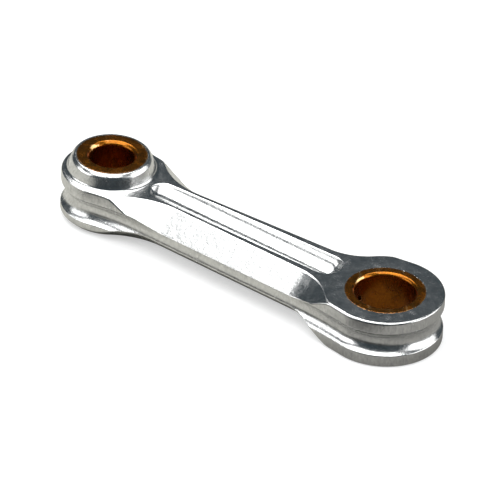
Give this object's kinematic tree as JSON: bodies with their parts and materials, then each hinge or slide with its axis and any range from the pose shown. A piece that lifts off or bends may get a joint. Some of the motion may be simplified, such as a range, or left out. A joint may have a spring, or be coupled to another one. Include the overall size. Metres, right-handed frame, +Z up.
{
  "type": "connecting rod",
  "caption": "Knife-edged aluminium connecting rod for a small two-stroke engine, with slotted broad faces, a grooved edge and a bronze bush in each eye.",
  "frame": {"origin": "middle of the bounding box, at the height of the flat underside", "axes": "+X from the wrist-pin eye to the crankpin eye, +Z up along both pin axes, away from the flat underside"},
  "size_m": [0.0596, 0.0156, 0.009],
  "materials": {
    "rod_aluminium": "machined and polished",
    "bush_bronze": "turned bronze, darkened"
  },
  "bodies": {
    "root": {"rod_body": "rod_aluminium", "crankpin_bush": "bush_bronze", "wrist_pin_bush": "bush_bronze"}
  },
  "joints": []
}
